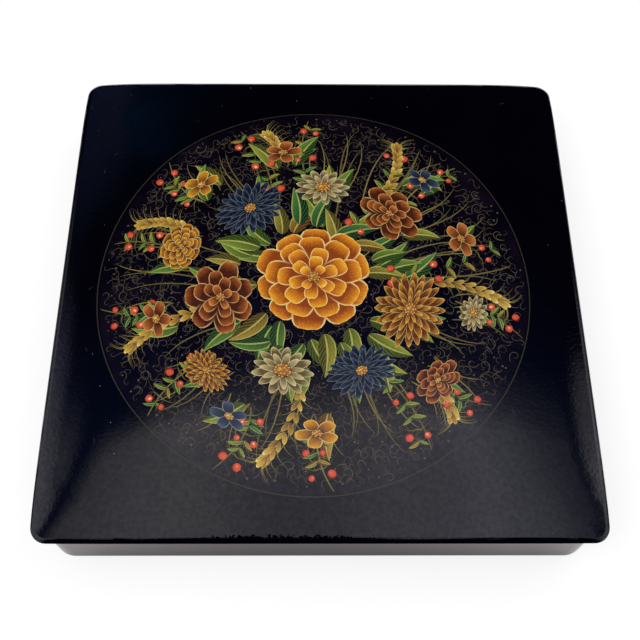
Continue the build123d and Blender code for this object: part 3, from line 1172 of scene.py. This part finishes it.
def leaf_paint(name, hatches):
    """Half in light and half in shade, with a pale rib, hatched veins and one lit edge."""
    recipe = Recipe(name)
    along, across, off, tint, grain = stroke_parts(recipe)
    shadow = recipe.ramp(tint, zip(LEAF_TINTS, LEAF_SHADE))
    sun = recipe.ramp(tint, zip(LEAF_TINTS, LEAF_SUN))
    lit = recipe.span(recipe.math("ADD", across, recipe.math("MULTIPLY_ADD", grain, 0.4, -0.2)), 0.3, 0.8)
    lit = recipe.product(lit, recipe.span(along, 0.0, 0.8, 0.2, 0.85))
    paint = recipe.mix(lit, shadow, sun)
    slant = recipe.math("MULTIPLY_ADD", off, -0.22, along)
    vein = recipe.span(recipe.math("SINE", recipe.math("MULTIPLY", slant, hatches)), 0.55, 0.95)
    paint = recipe.mix(recipe.product(vein, VEIN), paint, sun)
    rib = recipe.span(off, 0.04, 0.16, 1, 0)
    edge = recipe.product(recipe.span(off, 0.8, 0.95), recipe.math("GREATER_THAN", across, 0.5))
    drawn = recipe.product(recipe.math("MAXIMUM", rib, edge), RIB)
    return lacquered(recipe, recipe.mix(drawn, paint, RIB_COLOUR))


print("leaf paint ready in", len(LEAF_TINTS), "tints")

# %% [markdown]
# ## From flat plan to crowned lid
# The copies of each colour are joined into one piece. A Shrinkwrap could press it onto the lid, but strokes
# that lie over each other would end up at one height. So every point is raised to the lid's crown by its
# formula, plus its lift, and a Solidify makes each stroke a closed film of paint.

# %% Laying a colour on the lid
HALF_LID = 80.0
EDGE_TOP = 24.0
CROWN = 5.0
CROWN_POWER = 4.0
HIP_POWER = 10.0
FILM = 0.006 * MM
SMOOTH_UNDER = math.radians(40)


def crown(x, y):
    """Height of the lid's top at a place on its plan, in millimetres."""
    reach = ((np.abs(x) / HALF_LID) ** HIP_POWER + (np.abs(y) / HALF_LID) ** HIP_POWER) ** (1 / HIP_POWER)
    return EDGE_TOP + CROWN * (1 - reach**CROWN_POWER)


def joined(colour_name):
    """One flat piece from all the strokes of a colour."""
    bpy.ops.object.select_all(action="DESELECT")
    for mesh in laid[colour_name]:
        copy = bpy.data.objects.new("paint_" + colour_name, mesh)
        bpy.context.scene.collection.objects.link(copy)
        copy.select_set(True)
    bpy.context.view_layer.objects.active = copy
    if len(laid[colour_name]) > 1:
        bpy.ops.object.join()
    piece = bpy.context.view_layer.objects.active
    piece.name = piece.data.name = "paint_" + colour_name
    return piece


def raise_to_crown(piece, lift):
    """Raises each point of a flat piece to the lid's top, plus the colour's lift and its own."""
    count = len(piece.data.vertices)
    places = np.empty(3 * count, "f")
    lifts = np.empty(count, "f")
    piece.data.vertices.foreach_get("co", places)
    piece.data.attributes["lift"].data.foreach_get("value", lifts)
    places[2::3] = (crown(places[0::3] / MM, places[1::3] / MM) + lift) * MM + lifts
    piece.data.vertices.foreach_set("co", places)


def painted_piece(colour_name, material, lift):
    """Joins one colour's strokes and lays them on the lid as films."""
    piece = joined(colour_name)
    raise_to_crown(piece, lift)
    film = piece.modifiers.new("film", "SOLIDIFY")
    film.thickness = FILM
    film.offset = -1
    bpy.ops.object.modifier_apply(modifier="film")
    bpy.ops.object.shade_smooth_by_angle(angle=SMOOTH_UNDER)
    piece.data.materials.clear()
    piece.data.materials.append(material)
    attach(piece, "lid")
    print(piece.name, len(laid[colour_name]), "strokes,", len(piece.data.polygons), "faces")


print("crown", CROWN, "mm high, films", round(FILM / MM, 3), "mm thick")

# %% Ground, stems, leaves and berries
GROUND_LIFT, STEM_LIFT, LEAF_LIFT, BERRY_LIFT = 0.008, 0.018, 0.030, 0.036
border_gold = line_paint("border_gold", (0.018, 0.015, 0.010), (0.050, 0.040, 0.025))
tracery_gold = line_paint("tracery_gold", (0.020, 0.016, 0.011), (0.100, 0.077, 0.046))
stem_ochre = line_paint("stem_ochre", (0.050, 0.045, 0.012), (0.24, 0.19, 0.045))
berry_red = berry_paint("berry_red", (0.16, 0.008, 0.006), (0.60, 0.075, 0.03), (1.0, 0.55, 0.30))
painted_piece("border", border_gold, GROUND_LIFT)
painted_piece("tracery", tracery_gold, GROUND_LIFT)
painted_piece("stems", stem_ochre, STEM_LIFT)
painted_piece("leaves", leaf_paint("leaf_paint", hatches=70.0), LEAF_LIFT)
painted_piece("leaflets", leaf_paint("leaflet_paint", hatches=34.0), LEAF_LIFT)
painted_piece("berries", berry_red, BERRY_LIFT)

# %% Petals, hearts and gold
PETAL_BASE, HEART_LIFT, GOLD_LIFT = 0.048, 0.071, 0.075
PETALS = {
    "grains": ((0.12, 0.048, 0.008), (0.34, 0.18, 0.020), (0.60, 0.39, 0.060), (0.84, 0.66, 0.24)),
    "blue_petals": ((0.005, 0.008, 0.020), (0.020, 0.033, 0.066), (0.080, 0.115, 0.160), (0.32, 0.36, 0.36)),
    "cream_petals": ((0.11, 0.075, 0.024), (0.40, 0.31, 0.12), (0.72, 0.60, 0.31), (0.92, 0.84, 0.60)),
    "amber_petals": ((0.11, 0.026, 0.004), (0.46, 0.18, 0.012), (0.80, 0.45, 0.044), (0.94, 0.74, 0.27)),
    "coral_petals": ((0.060, 0.011, 0.003), (0.28, 0.068, 0.012), (0.62, 0.24, 0.045), (0.85, 0.54, 0.20)),
    "gold_petals": ((0.26, 0.044, 0.004), (0.66, 0.22, 0.009), (0.92, 0.51, 0.038), (0.97, 0.79, 0.30)),
}
for colour_name, shades in PETALS.items():
    lift = BERRY_LIFT if colour_name == "grains" else PETAL_BASE
    painted_piece(colour_name, petal_paint(colour_name + "_paint", *shades), lift)
heart_brown = berry_paint("heart_brown", (0.10, 0.022, 0.004), (0.36, 0.13, 0.012), (0.80, 0.50, 0.10))
gold_leaf = line_paint("gold_leaf", (0.50, 0.33, 0.10), (0.86, 0.66, 0.28), metallic=0.3)
painted_piece("hearts", heart_brown, HEART_LIFT)
painted_piece("gold", gold_leaf, GOLD_LIFT)

# %% [markdown]
# ## Sizes
# Paint hardly makes a box any larger. Both boxes are measured, the solids' and the painted one, and the tops
# of the two are printed side by side, so that paint standing too high above the lid would show at once.

# %% Sizes before and after painting
shown_low, shown_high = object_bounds()
tops = [round(corner[2] / MM, 2) for corner in (cad_high, shown_high)]
print("the lid's top before and after painting:", tops, "mm")
